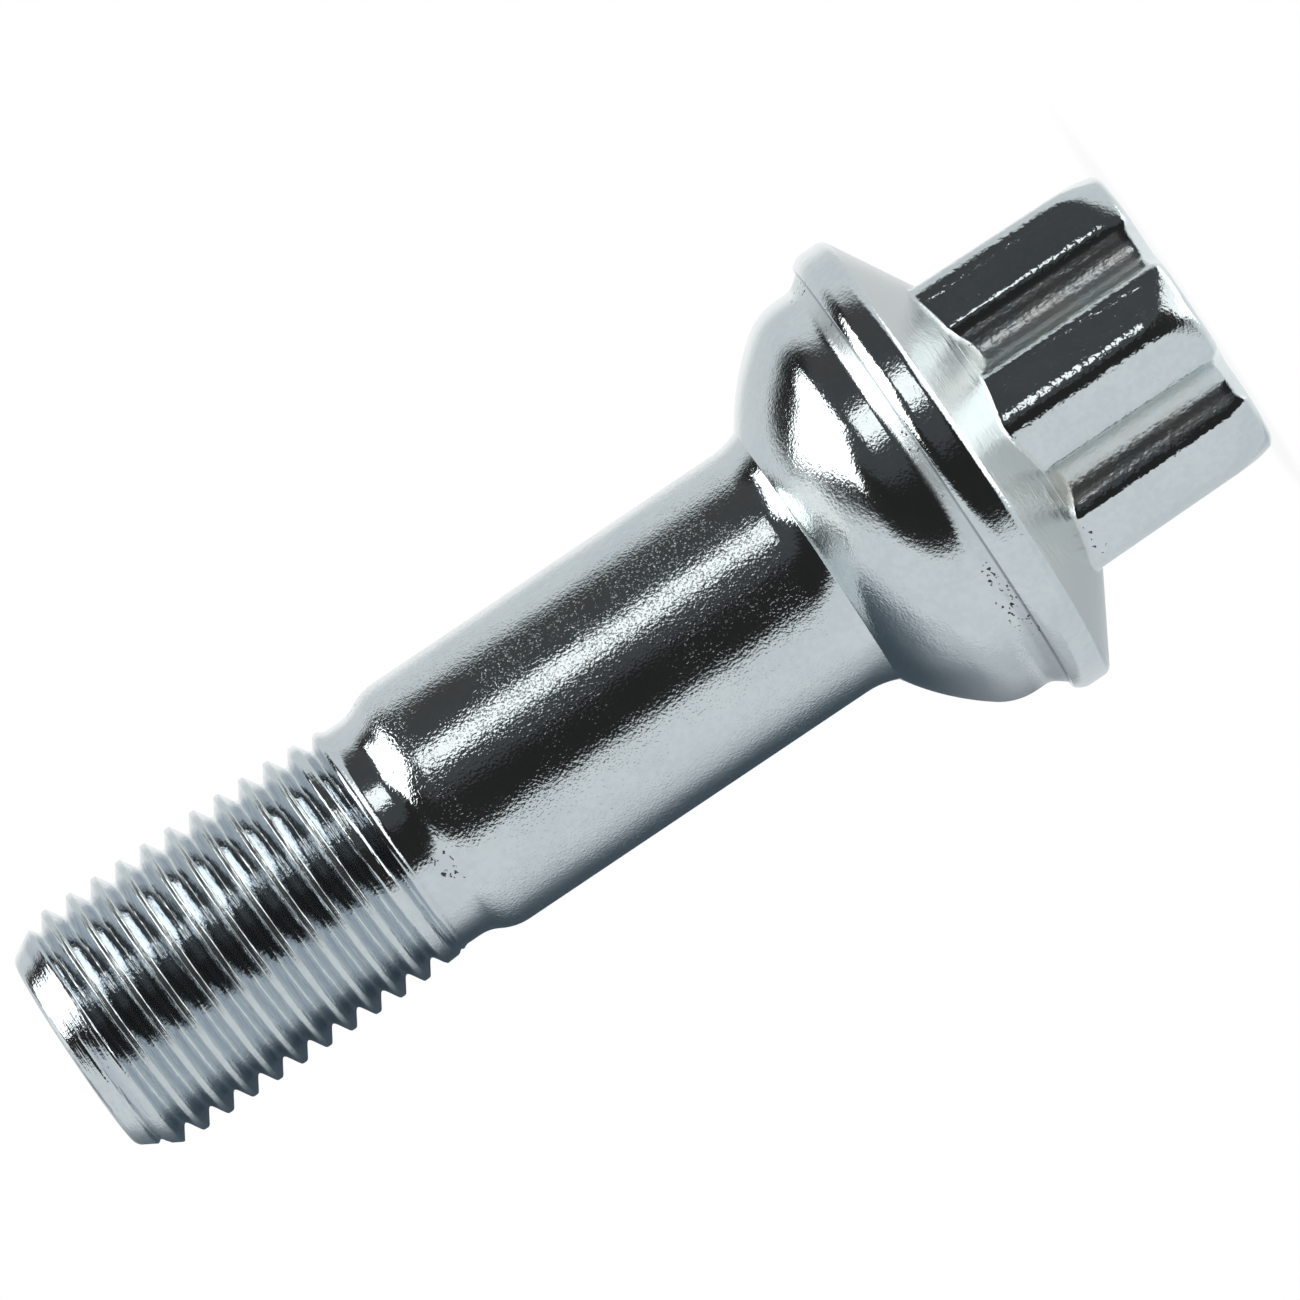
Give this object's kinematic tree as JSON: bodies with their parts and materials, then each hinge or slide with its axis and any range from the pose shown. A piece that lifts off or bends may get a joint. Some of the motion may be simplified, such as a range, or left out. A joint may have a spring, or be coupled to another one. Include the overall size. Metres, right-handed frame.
{
  "type": "wheel bolt",
  "caption": "Plated steel wheel bolt with a grooved hexagon head, a flange, a rounded ball seat, a plain shank and a rolled right-hand thread. It clamps a wheel to its hub.",
  "frame": {"origin": "centre of the head's flat end face, on which the bolt stands", "axes": "+Z along the bolt's axis from the head towards the thread's tip, +X through the middle of one flat of the hexagon"},
  "size_m": [0.0262, 0.0262, 0.0677],
  "materials": {
    "plated_steel": "gloss"
  },
  "bodies": {
    "root": {"wheel_bolt": "plated_steel"}
  },
  "joints": []
}
